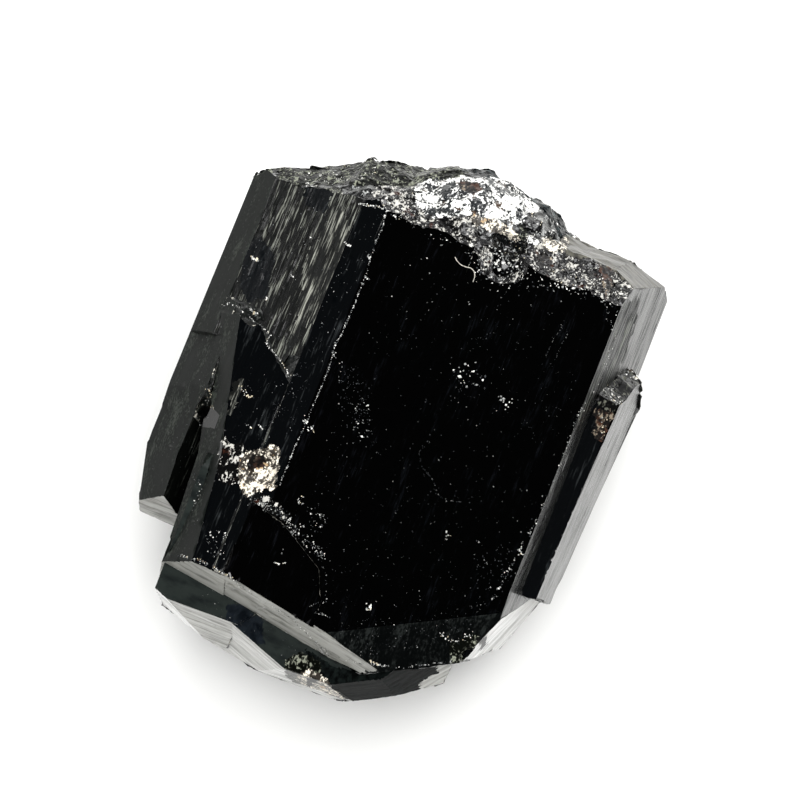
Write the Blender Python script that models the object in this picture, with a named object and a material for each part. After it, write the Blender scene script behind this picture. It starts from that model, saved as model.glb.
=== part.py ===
"""A black tourmaline crystal that lies on one of its long faces, in metres with +Z up.

The crystal grew as one piece, so it is one closed solid. Its long axis runs along +Y. The smooth
front face looks up, the flat back face lies in z = 0, the broken end points to +Y, and the end
with stepped ledges points to -Y. Lengths below are millimetres and angles are degrees.
"""

import math
import random

import bmesh
import bpy
from mathutils import Vector, noise

MM = 0.001

# Heights of the long faces over the surface that the crystal lies on
FRONT = 27.0
SUNK_CORNER = 26.45
RIGHT_SHOULDER = 14.0
LEFT_SHOULDER = 18.5
LEDGE = 22.3

# Half-width of the flat back face that it rests on
REST_HALF_WIDTH = 12.0

# The left and right edges of the front face, and how far the body reaches to each side
FRONT_LEFT = -8.4
FRONT_RIGHT = 14.7
BODY_LEFT = -22.15
BODY_RIGHT = 18.3

# The blocks run past the planes that end them by at least this much
TOP_STATION = 27.0
LOW_STATION = -26.0

# The middle of the crystal's box, which is moved to the origin
BOX_MIDDLE = Vector((-1.35, 1.84, 0.0))

# Long faces have strips along the axis, which rise and sink a little
STRIP_WIDTH = 1.15
STEEP_STRIP_WIDTH = 1.4
STRIP_PIECE = 3.2
STRIP_WAVE = 9.6
STRIP_RELIEF = 0.11
FRONT_CALMNESS = 0.75

# Ends have lumps, which are small on the clean ends and larger where the crystal was crushed
LUMP_WIDTH = 1.15
LUMP_HEIGHT = 1.3
LONG_WAVE = 3.0
SHORT_WAVE = 1.4
LUMP_RELIEF = 0.5
CLEAN_SHARE = 0.3
CRUSHED_SHARE = 1.0
SPLIT_SHARE = 0.6

# Boxes around the crushed parts and around the slanting split of the left plate
CRUSHED_BOXES = [((-30.0, 17.0, 12.0), (11.5, 30.0, 30.0)), ((14.5, 9.5, 0.0), (30.0, 16.0, 30.0))]
SPLIT_BOX = ((-30.0, 0.5, 21.0), (-10.0, 7.0, 30.0))

# The relief grows from nothing to its full size between these heights, so the base stays flat
NO_RELIEF_BELOW = 0.4
FULL_RELIEF_ABOVE = 2.5

# Slices are this unevenly spaced, and the seeds draw the same numbers in every run
UNEVENNESS = 0.25
SEED = 41
CHIP_SEED = 82
HIGHEST_FLAT = 0.95

# A face whose normal leans this much along the axis is an end, and the rest are long faces.
# Long faces that slope between level and steep are sliced both ways.
END_LEAN = 0.3
LEVEL = 0.38
STEEP = 0.62
BASE_FACING = -0.9

# Points this close are one point, and faces this close in angle are one face
TINY = 0.002
WELD = 0.01
SLIVER = 0.05
SAME_PLANE = 0.3


def direction(bearing, steepness):
    """The outward normal of a plane: bearing 0 faces +Y and 90 faces +X, steepness 0 faces up."""
    turn = math.radians(bearing)
    tilt = math.radians(steepness)
    return Vector((math.sin(turn) * math.sin(tilt), math.cos(turn) * math.sin(tilt), math.cos(tilt)))


def new_object(name, bm):
    """Turns the faces outward, makes an object of the mesh and frees it."""
    bmesh.ops.recalc_face_normals(bm, faces=bm.faces)
    mesh = bpy.data.meshes.new(name)
    bm.to_mesh(mesh)
    bm.free()
    made = bpy.data.objects.new(name, mesh)
    bpy.context.scene.collection.objects.link(made)
    return made


def lengthwise_block(name, stations, ends):
    """A block through sections of (x, z) corners at places along Y, ended by planes.

    Each end is a point on the plane, then its bearing and steepness.
    """
    bm = bmesh.new()
    rings = [[bm.verts.new((x, y, z)) for x, z in corners] for y, corners in stations]
    for ring, following in zip(rings, rings[1:]):
        for i, corner in enumerate(ring):
            j = (i + 1) % len(ring)
            bm.faces.new((corner, ring[j], following[j], following[i]))
    bm.faces.new(rings[0])
    bm.faces.new(rings[-1])
    for point, bearing, steepness in ends:
        cut_off(bm, point, direction(bearing, steepness))
    return new_object(name, bm)


def cut_off(bm, point, normal):
    """Takes away what lies outside a plane and closes the cut with one flat face."""
    everything = bm.verts[:] + bm.edges[:] + bm.faces[:]
    cut = bmesh.ops.bisect_plane(
        bm, geom=everything, dist=TINY, plane_co=point, plane_no=normal, clear_outer=True
    )
    rim = [e for e in cut["geom_cut"] if isinstance(e, bmesh.types.BMEdge)]
    bmesh.ops.contextual_create(bm, geom=rim)


def lump(name, centre, radii, seed, flats, deepest):
    """A rounded lump with seeded flats broken off it, each at some share of its radius."""
    draw = random.Random(seed)
    bm = bmesh.new()
    bmesh.ops.create_icosphere(bm, subdivisions=2, radius=1.0)
    for _ in range(flats):
        normal = Vector([draw.gauss(0.0, 1.0) for _ in range(3)]).normalized()
        cut_off(bm, normal * draw.uniform(deepest, HIGHEST_FLAT), normal)
    bmesh.ops.scale(bm, vec=radii, verts=bm.verts)
    bmesh.ops.translate(bm, vec=centre, verts=bm.verts)
    return new_object(name, bm)


def plan_cutter(name, outline, floor):
    """An upright cutter over an (x, y) outline, from its floor to above the front face."""
    bm = bmesh.new()
    low = [bm.verts.new((x, y, floor)) for x, y in outline]
    face = bm.faces.new(low)
    raised = bmesh.ops.extrude_face_region(bm, geom=[face])["geom"]
    top = [v for v in raised if isinstance(v, bmesh.types.BMVert)]
    bmesh.ops.translate(bm, vec=(0.0, 0.0, FRONT + 5.0 - floor), verts=top)
    return new_object(name, bm)


def combine(body, other, operation):
    """Joins another solid to the body or cuts it from the body, and removes the other."""
    step = body.modifiers.new(operation.lower(), "BOOLEAN")
    step.operation = operation
    step.solver = "EXACT"
    step.object = other
    graph = bpy.context.evaluated_depsgraph_get()
    result = bpy.data.meshes.new_from_object(body.evaluated_get(graph))
    body.modifiers.clear()
    body.data = result
    bpy.data.objects.remove(other)


def main_body():
    """The full-length crystal, wide on its upper left and narrow on its lower left."""
    wide = [
        (FRONT_LEFT, FRONT),
        (-11.0, 26.1),
        (-19.7, 21.4),
        (BODY_LEFT, LEFT_SHOULDER),
        (-21.4, 8.0),
        (-REST_HALF_WIDTH, 0.0),
        (REST_HALF_WIDTH, 0.0),
        (BODY_RIGHT, RIGHT_SHOULDER),
        (FRONT_RIGHT, FRONT),
    ]
    narrow = list(wide)
    narrow[2] = (-13.8, 23.2)
    narrow[3] = (-15.0, 20.0)
    narrow[4] = (-15.0, 8.6)
    stations = [(LOW_STATION, narrow), (2.0, narrow), (3.0, wide), (TOP_STATION, wide)]
    ends = [
        ((13.6, 21.1, 25.0), 22, 67),
        ((10.0, 21.5, 25.0), 2, 68),
        ((7.0, 18.1, FRONT), 1, 32),
        ((-14.7, 19.8, 23.0), -26, 52),
        ((-14.5, 22.6, 20.0), -26, 96),
        ((10.0, 24.1, 17.0), 4, 104),
        ((-8.8, -18.4, 26.0), 190, 72),
        ((10.0, -19.3, 26.0), 152, 99),
        ((15.5, -12.4, 14.0), 113, 88),
        ((0.1, -17.9, FRONT), 152, 7),
        ((2.2, -19.0, 26.75), 152, 14),
        ((-2.0, -20.8, 21.0), 184, 100),
    ]
    return lengthwise_block("crystal", stations, ends)


def lower_left_plate():
    """The raised left plate, which tapers to -Y and is broken off slantwise at its upper end."""
    low = [(-9.8, 26.3), (-13.3, 25.3), (-16.1, 22.0), (-16.2, 8.0), (-9.0, 8.0)]
    middle = [(-10.0, 26.3), (-14.5, 25.0), (-16.9, 22.0), (-16.5, 8.0), (-9.0, 8.0)]
    high = [(-10.3, 26.3), (-17.8, 23.95), (-19.9, 21.2), (-19.0, 8.0), (-9.0, 8.0)]
    stations = [(LOW_STATION, low), (-16.5, low), (-7.6, middle), (5.0, high), (9.0, high)]
    ends = [
        ((-14.2, 3.5, 24.9), 33, 58),
        ((-18.4, 5.8, 23.5), -6, 62),
        ((-8.8, -18.5, 26.0), 189, 72),
        ((-12.0, -20.0, 12.0), 180, 104),
    ]
    return lengthwise_block("lower left plate", stations, ends)


def left_crystal():
    """The smaller crystal along the left side, with its own flat lower end."""
    underside = [(-19.0, 6.0), (-13.0, 6.0)]
    low = [(-18.4, 20.3), (-20.7, 17.2), (-20.4, 10.0)] + underside + [(-14.5, 17.0), (-16.8, 17.2)]
    middle = [(-18.6, 20.9), (-22.1, 17.0), (-22.0, 10.0)] + underside + [(-14.5, 17.0), (-16.9, 17.8)]
    high = [(-18.3, 22.3), (-22.25, 17.6), (-22.0, 10.0)] + underside + [(-14.5, 19.0), (-15.5, 22.0)]
    stations = [(LOW_STATION, low), (-14.0, low), (-8.2, middle), (-5.0, middle), (-2.5, high), (3.2, high)]
    ends = [
        ((-18.3, -12.9, 20.0), 180, 75),
        ((-18.0, -13.9, 13.0), 184, 106),
    ]
    return lengthwise_block("left crystal", stations, ends)


def right_crystal():
    """The slim crystal along the right side, with a rounded broken upper end."""
    low = [(13.0, 24.6), (15.3, 23.9), (17.0, 23.1), (17.8, 14.0), (17.0, 7.0), (13.0, 5.0)]
    high = [(13.0, 24.9), (15.6, 23.9), (17.7, 23.0), (19.8, 14.0), (18.6, 7.0), (13.0, 5.0)]
    stations = [(-14.0, low), (16.0, high)]
    ends = [
        ((16.0, -9.6, 23.0), 176, 97),
        ((17.0, 10.2, 23.0), 22, 52),
        ((16.0, -9.7, 13.0), 176, 106),
        ((18.0, 13.0, 13.0), 30, 104),
    ]
    return lengthwise_block("right crystal", stations, ends)


def left_ledge():
    """The left half of the layer under the front face's lower end."""
    section = [(-15.8, 24.0), (-15.8, 8.0), (-11.0, 4.2), (-4.0, 4.2), (-4.0, 24.0)]
    stations = [(LOW_STATION, section), (-8.0, section)]
    ends = [
        ((-8.0, -20.5, LEDGE), 198, 13),
        ((-11.0, -21.6, 21.8), 180, 79),
        ((-12.2, -22.5, 14.0), 201, 90),
        ((-11.0, -22.8, 13.0), 186, 106),
        ((-7.6, -21.8, 22.0), 128, 88),
    ]
    return lengthwise_block("left ledge", stations, ends)


def middle_ledge():
    """The right half of that layer, which reaches further out and ends in pale steep faces."""
    section = [(-10.5, 24.0), (-10.5, 9.0), (-7.5, 2.6), (7.5, 2.6), (11.5, 9.0), (12.5, 24.0)]
    stations = [(LOW_STATION, section), (-8.0, section)]
    ends = [
        ((-8.0, -20.5, LEDGE - 0.1), 190, 12),
        ((-4.6, -22.8, 21.8), 199, 81),
        ((-3.0, -24.0, 14.0), 178, 88),
        ((6.4, -22.0, 20.0), 154, 80),
        ((10.9, -18.4, 17.0), 130, 76),
        ((-1.0, -24.2, 14.0), 182, 104),
        ((6.0, -22.3, 14.0), 150, 104),
    ]
    return lengthwise_block("middle ledge", stations, ends)


def add_broken_end(body):
    """Joins the lumps of the broken upper end."""
    lumps = [
        ((-1.6, 19.0, 17.6), (9.2, 8.4, 9.3)),
        ((3.7, 19.7, 17.2), (5.0, 7.0, 8.0)),
        ((-10.2, 18.6, 16.6), (6.2, 6.0, 8.8)),
        ((-6.0, 20.6, 21.0), (3.4, 3.6, 4.0)),
        ((0.8, 21.4, 20.6), (3.6, 4.6, 4.4)),
        ((-14.6, 18.2, 15.2), (5.2, 4.6, 7.4)),
        ((10.6, 19.0, 20.6), (4.2, 2.8, 4.2)),
    ]
    for number, (centre, radii) in enumerate(lumps):
        piece = lump(f"lump {number}", centre, radii, SEED + number, flats=9, deepest=0.86)
        combine(body, piece, "UNION")


def cut_hollows(body):
    """Sinks the lower left corner of the front face, and breaks out the chips and pits."""
    corner = [
        (-10.3, -10.9),
        (-6.9, -11.9),
        (-4.6, -13.2),
        (-2.1, -14.6),
        (-0.8, -17.2),
        (-0.4, -24.0),
        (-20.0, -24.0),
    ]
    combine(body, plan_cutter("sunk corner", corner, SUNK_CORNER), "DIFFERENCE")
    chips = [
        ((-11.2, -7.9, 26.6), (2.9, 2.2, 1.3)),
        ((-17.9, -3.9, 21.6), (0.8, 1.3, 1.8)),
        ((3.0, 19.9, 26.0), (1.9, 1.1, 1.6)),
        ((3.0, 17.9, 27.6), (2.8, 2.3, 1.6)),
        ((13.6, -16.9, 25.6), (1.3, 1.1, 1.4)),
        ((3.0, -24.4, 21.0), (1.6, 1.2, 1.6)),
        ((-16.6, 5.2, 24.3), (1.5, 1.0, 0.9)),
    ]
    for number, (centre, radii) in enumerate(chips):
        cutter = lump(f"chip {number}", centre, radii, CHIP_SEED + number, flats=14, deepest=0.72)
        combine(body, cutter, "DIFFERENCE")


def is_end(face):
    """True for the faces that end the crystal, and false for its long faces."""
    return abs(face.normal.y) > END_LEAN


def slice_across(bm, axis, spacing, wanted, draw):
    """Cuts the wanted faces at seeded places along an axis, so that they have points to move."""
    places = [v.co[axis] for v in bm.verts]
    place = min(places) + spacing * 0.5
    normal = Vector([float(axis == i) for i in range(3)])
    while place < max(places):
        crossed = []
        for face in bm.faces:
            reach = [v.co[axis] for v in face.verts]
            if min(reach) < place - TINY and max(reach) > place + TINY and wanted(face):
                crossed.append(face)
        edges = list(dict.fromkeys(e for f in crossed for e in f.edges))
        points = list(dict.fromkeys(v for f in crossed for v in f.verts))
        if crossed:
            bmesh.ops.bisect_plane(
                bm, geom=points + edges + crossed, dist=TINY, plane_co=normal * place, plane_no=normal
            )
        place += spacing * draw.uniform(1.0 - UNEVENNESS, 1.0 + UNEVENNESS)


def inside(place, box):
    """True where a place lies between the low and the high corner of a box."""
    return all(low < along < high for low, along, high in zip(box[0], place, box[1]))


def brokenness(place):
    """The share of the full relief that an end has at a place."""
    if any(inside(place, box) for box in CRUSHED_BOXES):
        return CRUSHED_SHARE
    if inside(place, SPLIT_BOX):
        return SPLIT_SHARE
    return CLEAN_SHARE


def lumpy_move(place, long_normals, seed_offset):
    """How far a point of a broken end moves, with the long faces beside it kept flat."""
    wave = noise.noise_vector((place + seed_offset) / LONG_WAVE)
    fine = noise.noise_vector((place - seed_offset) / SHORT_WAVE)
    move = (wave + 0.5 * fine) * LUMP_RELIEF * brokenness(place)
    for normal in long_normals:
        move -= normal * move.dot(normal)
    return move


def striped_move(place, normal, seed_offset):
    """How far a point of a long face rises or sinks. The front face stays nearly flat."""
    stretched = Vector((place.x / STRIP_WIDTH, place.y / STRIP_WAVE, place.z / STRIP_WIDTH))
    height = noise.noise(stretched + seed_offset)
    share = 1.0 - FRONT_CALMNESS * max(0.0, normal.z) ** 8
    return normal * height * STRIP_RELIEF * share


def in_fixed_order(mesh):
    """The mesh for editing, with points and faces in an order that depends only on their places."""
    order = sorted(range(len(mesh.vertices)), key=lambda i: tuple(mesh.vertices[i].co))
    rank = {old: new for new, old in enumerate(order)}
    faces = []
    for polygon in mesh.polygons:
        corners = [rank[i] for i in polygon.vertices]
        first = corners.index(min(corners))
        faces.append(corners[first:] + corners[:first])
    bm = bmesh.new()
    points = [bm.verts.new(mesh.vertices[i].co) for i in order]
    for corners in sorted(faces):
        bm.faces.new([points[i] for i in corners])
    return bm


def add_relief(body):
    """Gives the long faces their strips and the broken ends their lumps, and keeps the base flat."""
    draw = random.Random(SEED)
    noise.seed_set(SEED)
    bm = in_fixed_order(body.data)
    bmesh.ops.remove_doubles(bm, verts=bm.verts, dist=WELD)
    same_plane = math.radians(SAME_PLANE)
    bmesh.ops.dissolve_limit(bm, angle_limit=same_plane, verts=bm.verts, edges=bm.edges)
    bm.normal_update()

    def off_the_base(face):
        return face.normal.z > BASE_FACING

    def long_face(face):
        return off_the_base(face) and not is_end(face)

    def level_long_face(face):
        return long_face(face) and abs(face.normal.z) > LEVEL

    def steep_long_face(face):
        return long_face(face) and abs(face.normal.z) < STEEP

    def end_face(face):
        return off_the_base(face) and is_end(face)

    slice_across(bm, 0, STRIP_WIDTH, level_long_face, draw)
    slice_across(bm, 2, STEEP_STRIP_WIDTH, steep_long_face, draw)
    slice_across(bm, 1, STRIP_PIECE, long_face, draw)
    slice_across(bm, 0, LUMP_WIDTH, end_face, draw)
    slice_across(bm, 2, LUMP_HEIGHT, end_face, draw)
    bmesh.ops.remove_doubles(bm, verts=bm.verts, dist=SLIVER)
    bmesh.ops.triangulate(bm, faces=bm.faces)
    bm.normal_update()
    offset = Vector((draw.uniform(10.0, 90.0), draw.uniform(10.0, 90.0), draw.uniform(10.0, 90.0)))
    moves = {}
    for v in bm.verts:
        height = (v.co.z - NO_RELIEF_BELOW) / (FULL_RELIEF_ABOVE - NO_RELIEF_BELOW)
        share = min(1.0, max(0.0, height))
        long_normals = sorted((f.normal.copy() for f in v.link_faces if long_face(f)), key=tuple)
        if any(is_end(f) for f in v.link_faces):
            moves[v] = lumpy_move(v.co.copy(), long_normals, offset) * share
        else:
            moves[v] = striped_move(v.co.copy(), v.normal, offset) * share
    for v, move in moves.items():
        v.co += move
    bmesh.ops.translate(bm, vec=-BOX_MIDDLE, verts=bm.verts)
    bmesh.ops.scale(bm, vec=(MM, MM, MM), verts=bm.verts)
    bm.to_mesh(body.data)
    bm.free()


def tourmaline():
    """Black tourmaline, which is glassy on its grown faces."""
    material = bpy.data.materials.new("black tourmaline")
    material.use_nodes = True
    shader = material.node_tree.nodes["Principled BSDF"]
    shader.inputs["Base Color"].default_value = (0.012, 0.012, 0.014, 1.0)
    shader.inputs["Metallic"].default_value = 0.0
    shader.inputs["Roughness"].default_value = 0.18
    shader.inputs["IOR"].default_value = 1.64
    return material


def build():
    """Joins the blocks, cuts the hollows and adds the relief."""
    for old in list(bpy.data.objects):
        bpy.data.objects.remove(old)
    body = main_body()
    for block in (lower_left_plate(), left_crystal(), right_crystal(), left_ledge(), middle_ledge()):
        combine(body, block, "UNION")
    add_broken_end(body)
    cut_hollows(body)
    add_relief(body)
    body.data.materials.clear()
    body.data.materials.append(tourmaline())


build()
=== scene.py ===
import math
import random

import bmesh
import bpy
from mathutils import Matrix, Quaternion, Vector, noise
from mathutils.bvhtree import BVHTree


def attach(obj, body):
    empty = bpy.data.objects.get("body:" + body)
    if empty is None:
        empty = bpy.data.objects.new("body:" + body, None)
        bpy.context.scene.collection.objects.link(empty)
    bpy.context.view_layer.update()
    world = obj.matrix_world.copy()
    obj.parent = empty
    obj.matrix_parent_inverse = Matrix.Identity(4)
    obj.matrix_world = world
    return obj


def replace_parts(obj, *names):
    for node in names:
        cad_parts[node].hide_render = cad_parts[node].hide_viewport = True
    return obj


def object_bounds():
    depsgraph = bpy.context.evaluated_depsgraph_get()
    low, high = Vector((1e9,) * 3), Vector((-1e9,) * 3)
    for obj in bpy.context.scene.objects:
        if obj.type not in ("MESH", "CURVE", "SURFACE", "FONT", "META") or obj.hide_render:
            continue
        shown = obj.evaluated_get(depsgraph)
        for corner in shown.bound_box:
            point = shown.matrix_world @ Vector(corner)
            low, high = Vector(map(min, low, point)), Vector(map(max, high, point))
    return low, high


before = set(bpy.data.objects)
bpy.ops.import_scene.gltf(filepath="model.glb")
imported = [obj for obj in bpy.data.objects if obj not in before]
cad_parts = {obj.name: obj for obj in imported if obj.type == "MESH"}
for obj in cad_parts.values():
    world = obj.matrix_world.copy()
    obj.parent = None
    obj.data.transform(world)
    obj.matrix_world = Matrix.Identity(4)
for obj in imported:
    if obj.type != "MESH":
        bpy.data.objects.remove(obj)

CAD_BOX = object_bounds()
MM = 0.001
SEED = 23

# The camera looks down on the front face. Lengths are in millimetres, as everywhere below.
AIM = Vector((0.38, 0.64, 27.0))
AZIMUTH = 21.5
ELEVATION = 80.0
CAMERA_DISTANCE = 360.0
LENS = 178.0
SENSOR = 36.0
FRAME_PIXELS = 800


def back_direction():
    """The direction from the crystal to the camera."""
    turn = math.radians(AZIMUTH)
    lift = math.radians(ELEVATION)
    flat = math.cos(lift)
    return Vector((math.sin(turn) * flat, -math.cos(turn) * flat, math.sin(lift)))


BACK = back_direction()
EYE = AIM + BACK * CAMERA_DISTANCE
TURN = (-BACK).to_track_quat("-Z", "Y")
RIGHT = TURN @ Vector((1.0, 0.0, 0.0))
UP = TURN @ Vector((0.0, 1.0, 0.0))
FOCAL_PIXELS = LENS * FRAME_PIXELS / SENSOR

# The solid's larger flat faces: bearing 0 faces +Y and 90 faces +X, steepness 0 faces up, then the
# plane's distance from the origin, and what kind of surface it is. Planes are rounded.
FACES = [
    (0, 0, 27.0, "front"),
    (152, 7, 29.01, "front"),
    (152, 14, 30.81, "rim"),
    (0, 0, 26.45, "front"),
    (-90, 19.1, 27.82, "bevel"),
    (-90.2, 16.6, 27.68, "bevel"),
    (-90, 28.4, 27.55, "slope"),
    (-90, 49.8, 27.83, "smooth"),
    (-100.9, 52.4, 26.92, "smooth"),
    (-95.6, 50.7, 26.65, "smooth"),
    (-90, 50.0, 27.32, "smooth"),
    (-107.5, 50.4, 27.63, "smooth"),
    (-90, 48.1, 26.80, "smooth"),
    (-99.7, 50.4, 27.81, "smooth"),
    (-90, 94.1, 19.43, "side"),
    (-93.5, 90.6, 15.76, "side"),
    (-90, 89.6, 14.91, "side"),
    (-103.5, 91.6, 16.71, "side"),
    (-90, 91.9, 20.31, "side"),
    (-91.6, 91.4, 20.55, "side"),
    (-90, 90.8, 20.51, "side"),
    (-104.5, 91.5, 22.19, "side"),
    (-90, 90.0, 14.45, "side"),
    (91.7, 61.9, -5.07, "side"),
    (90, 61.3, -5.08, "side"),
    (90, 74.5, 22.67, "right"),
    (92.6, 80.7, 22.20, "right"),
    (93.5, 98.2, 17.96, "side"),
    (90.8, 24.1, 28.68, "bevel"),
    (90, 114.2, 12.17, "side"),
    (-90, 139.6, 6.90, "side"),
    (-90, 109.2, 10.06, "side"),
    (-90, 126.9, 10.52, "side"),
    (-98.8, 121.1, 13.40, "side"),
    (-90, 141.6, 2.70, "side"),
    (-90, 115.1, 4.47, "side"),
    (90, 93.8, 12.22, "side"),
    (90, 122.0, 6.13, "side"),
    (91.9, 157.8, 0.75, "side"),
    (0, 180, -6.0, "side"),
    (0, 180, -2.6, "end"),
    (0, 180, -4.2, "end"),
    (0, 180, 0.0, "base"),
    (-170, 72, 28.22, "pale end"),
    (-171, 72, 28.25, "pale end"),
    (180, 75, 19.41, "pale end"),
    (22, 67, 31.36, "dull end"),
    (113, 88, 21.55, "pale end"),
    (178, 88, 26.24, "pale end"),
    (-159, 90, 26.61, "pale end"),
    (-161, 81, 27.47, "pale end"),
    (154, 80, 27.92, "dark end"),
    (-180, 79, 27.17, "pale end"),
    (-162, 13, 26.97, "ledge"),
    (-170, 12, 26.53, "ledge"),
    (152, 99, 19.63, "split end"),
    (-176, 100, 18.64, "split end"),
    (130, 76, 25.84, "dark end"),
    (-178, 104, 21.85, "split end"),
    (150, 104, 20.46, "split end"),
    (-174, 106, 20.94, "split end"),
    (-176, 106, 12.63, "split end"),
    (176, 97, 9.73, "split end"),
    (30, 104, 15.62, "split end"),
    (4, 104, 18.2, "split end"),
    (-26, 96, 22.20, "split end"),
    (-26, 52, 31.49, "broken"),
    (2, 68, 27.95, "broken"),
    (1, 32, 31.59, "broken"),
]
LONG_KINDS = ("front", "rim", "bevel", "slope", "smooth", "side", "right")
CLEAN_END_KINDS = ("pale end", "dull end", "dark end", "ledge")
HIDDEN_END_KINDS = ("end", "split end")
END_KINDS = CLEAN_END_KINDS + HIDDEN_END_KINDS
BREAK_KINDS = ("broken", "split end")

# How far grooves rise or sink on each kind of long face, in millimetres
GROOVE_HEIGHT = {
    "front": 0.001,
    "rim": 0.003,
    "bevel": 0.006,
    "slope": 0.015,
    "smooth": 0.003,
    "side": 0.012,
    "right": 0.016,
}


def direction(bearing, steepness):
    """The outward normal of a plane."""
    turn = math.radians(bearing)
    tilt = math.radians(steepness)
    return Vector((math.sin(turn) * math.sin(tilt), math.cos(turn) * math.sin(tilt), math.cos(tilt)))


NORMALS = [direction(bearing, steepness) for bearing, steepness, _, _ in FACES]
DISTANCES = [distance for _, _, distance, _ in FACES]
BROKEN = len(FACES)


def kind_of(number):
    """The kind of surface that a face's number stands for."""
    return "broken" if number == BROKEN else FACES[number][3]


# Colours

def linear(code):
    """The linear colour of an sRGB hex value."""
    parts = [int(code[i:i + 2], 16) / 255 for i in (1, 3, 5)]
    return tuple(p / 12.92 if p <= 0.04045 else ((p + 0.055) / 1.055) ** 2.4 for p in parts) + (1.0,)


# Patches: what the surface looks like inside an outline of photograph pixels, and on which kinds

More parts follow.
